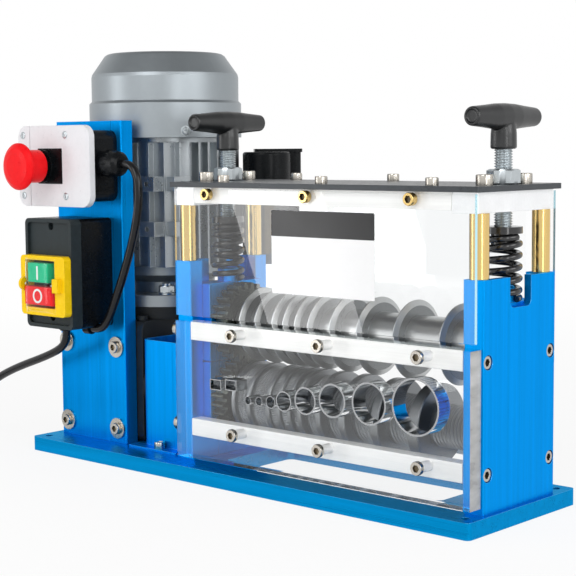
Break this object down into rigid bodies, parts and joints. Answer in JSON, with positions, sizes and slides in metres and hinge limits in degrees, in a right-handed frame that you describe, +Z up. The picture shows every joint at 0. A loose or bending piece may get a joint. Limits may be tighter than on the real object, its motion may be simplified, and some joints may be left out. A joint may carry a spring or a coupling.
{
  "type": "electric wire stripping machine",
  "caption": "Bench machine with driven and bladed rollers that strips insulation from cable fed through bushed channels, with motor, press screws and stop switch.",
  "frame": {"origin": "centre of the base plate's underside", "axes": "+X along the rollers, away from the motor; -Y is the feed side; +Z up"},
  "size_m": [0.7347, 0.3622, 0.3712],
  "materials": {
    "blue_anodised": "satin",
    "dark_casting": "painted",
    "motor_silver": "satin",
    "motor_grey": "satin",
    "cowl_silver": "satin",
    "black_plastic": "satin",
    "dark_plastic": "satin",
    "white_plastic": "satin",
    "yellow_plastic": "gloss",
    "red_plastic": "gloss",
    "green_plastic": "gloss",
    "clear_acrylic": "clear, polished",
    "polished_steel": "polished",
    "screw_steel": "bright",
    "zinc_steel": "zinc plated",
    "roller_steel": "ground",
    "blade_steel": "ground",
    "gear_steel": "oiled",
    "spring_black": "black",
    "bright_aluminium": "satin",
    "brass": "polished",
    "dark_plate": "satin",
    "cable_rubber": "matte"
  },
  "bodies": {
    "frame": {"base_plate": "blue_anodised", "gearbox_housing": "dark_casting", "gearbox_flange": "dark_casting", "motor_flange": "motor_silver", "motor_end_shield": "motor_grey", "motor_body": "motor_silver", "fan_cowl": "cowl_silver", "terminal_box": "black_plastic", "coupling_guard": "blue_anodised", "tower_plate": "blue_anodised", "m8_cap_screws": "screw_steel", "m6_cap_screws": "screw_steel", "m8_washers": "screw_steel", "lock_nuts": "zinc_steel", "estop_box": "black_plastic", "estop_lid": "white_plastic", "estop_collar": "black_plastic", "cable_glands": "black_plastic", "switch_box": "black_plastic", "switch_cover": "dark_plastic", "switch_bezel": "yellow_plastic", "link_cable": "cable_rubber", "side_plate_left": "blue_anodised", "side_plate_right": "blue_anodised", "cross_bars": "bright_aluminium", "guide_block": "clear_acrylic", "guide_bushes": "polished_steel", "front_cover": "clear_acrylic", "rear_cover": "clear_acrylic", "cover_bars": "bright_aluminium", "cover_screws": "brass", "bridge_blocks": "bright_aluminium", "top_plate": "dark_plate", "pillars": "brass", "lower_bearing_blocks": "blue_anodised", "mains_cable": "cable_rubber", "mains_coil": "cable_rubber", "mains_plug": "cable_rubber"},
    "lower_roller": {"lower_shaft": "roller_steel", "feed_discs": "roller_steel", "feed_sleeves": "roller_steel", "lower_gear": "gear_steel", "shaft_coupling": "gear_steel"},
    "upper_carriage": {"upper_bearing_blocks": "blue_anodised", "spring_left": "spring_black", "spring_right": "spring_black"},
    "upper_roller": {"upper_shaft": "roller_steel", "stripping_blades": "blade_steel", "spacer_sleeves": "bright_aluminium", "upper_gear": "gear_steel"},
    "press_collar_left": {"collar_left": "spring_black"},
    "press_collar_right": {"collar_right": "spring_black"},
    "press_handle_left": {"press_screw_left": "zinc_steel", "t_handle_left": "black_plastic"},
    "press_handle_right": {"press_screw_right": "zinc_steel", "t_handle_right": "black_plastic"},
    "stop_plunger": {"estop_stem": "black_plastic"},
    "stop_knob": {"estop_head": "red_plastic"},
    "start_key": {"start_button": "green_plastic"},
    "stop_key": {"stop_button": "red_plastic"}
  },
  "joints": [
    {"name": "lower_roller_spin", "type": "hinge", "parent": "frame", "child": "lower_roller", "pos_m": [0.08625, -0.001, 0.0655], "axis": [1, 0, 0], "continuous": true},
    {"name": "upper_roller_lift", "type": "slide", "parent": "frame", "child": "upper_carriage", "axis": [0, 0, 1], "range_m": [0, 0.004], "stiffness_N_per_m": 20000, "springref_m": -0.003, "deforming": ["spring_left", "spring_right"]},
    {"name": "upper_roller_spin", "type": "hinge", "parent": "upper_carriage", "child": "upper_roller", "pos_m": [0.08625, -0.001, 0.1305], "axis": [1, 0, 0], "continuous": true},
    {"name": "press_travel_left", "type": "slide", "parent": "frame", "child": "press_collar_left", "axis": [0, 0, 1], "range_m": [-0.008, 0.01], "deforming": ["spring_left"]},
    {"name": "press_turn_left", "type": "hinge", "parent": "press_collar_left", "child": "press_handle_left", "pos_m": [-0.0575, -0.001, 0.26], "axis": [0, 0, 1], "range_deg": [-1442, 1802]},
    {"name": "press_travel_right", "type": "slide", "parent": "frame", "child": "press_collar_right", "axis": [0, 0, 1], "range_m": [-0.008, 0.01], "deforming": ["spring_right"]},
    {"name": "press_turn_right", "type": "hinge", "parent": "press_collar_right", "child": "press_handle_right", "pos_m": [0.23, -0.001, 0.26], "axis": [0, 0, 1], "range_deg": [-1442, 1802]},
    {"name": "stop_press", "type": "slide", "parent": "frame", "child": "stop_plunger", "axis": [0, 1, 0], "range_m": [0, 0.004], "stiffness_N_per_m": 1500, "springref_m": -0.002},
    {"name": "stop_release", "type": "hinge", "parent": "stop_plunger", "child": "stop_knob", "pos_m": [-0.2165, -0.09, 0.267], "axis": [0, -1, 0], "range_deg": [0, 45], "stiffness_Nm_per_rad": 0.2, "springref_deg": -11.46},
    {"name": "start_press", "type": "slide", "parent": "frame", "child": "start_key", "axis": [0, 1, 0], "range_m": [0, 0.003], "stiffness_N_per_m": 1000, "springref_m": -0.001},
    {"name": "stop_key_press", "type": "slide", "parent": "frame", "child": "stop_key", "axis": [0, 1, 0], "range_m": [0, 0.003], "stiffness_N_per_m": 1000, "springref_m": -0.001}
  ],
  "couplings": [
    {"joint": "upper_roller_spin", "follows": "lower_roller_spin", "ratio": -1},
    {"joint": "press_turn_left", "follows": "press_travel_left", "rad_per_m": 3141.6},
    {"joint": "press_turn_right", "follows": "press_travel_right", "rad_per_m": 3141.6}
  ]
}
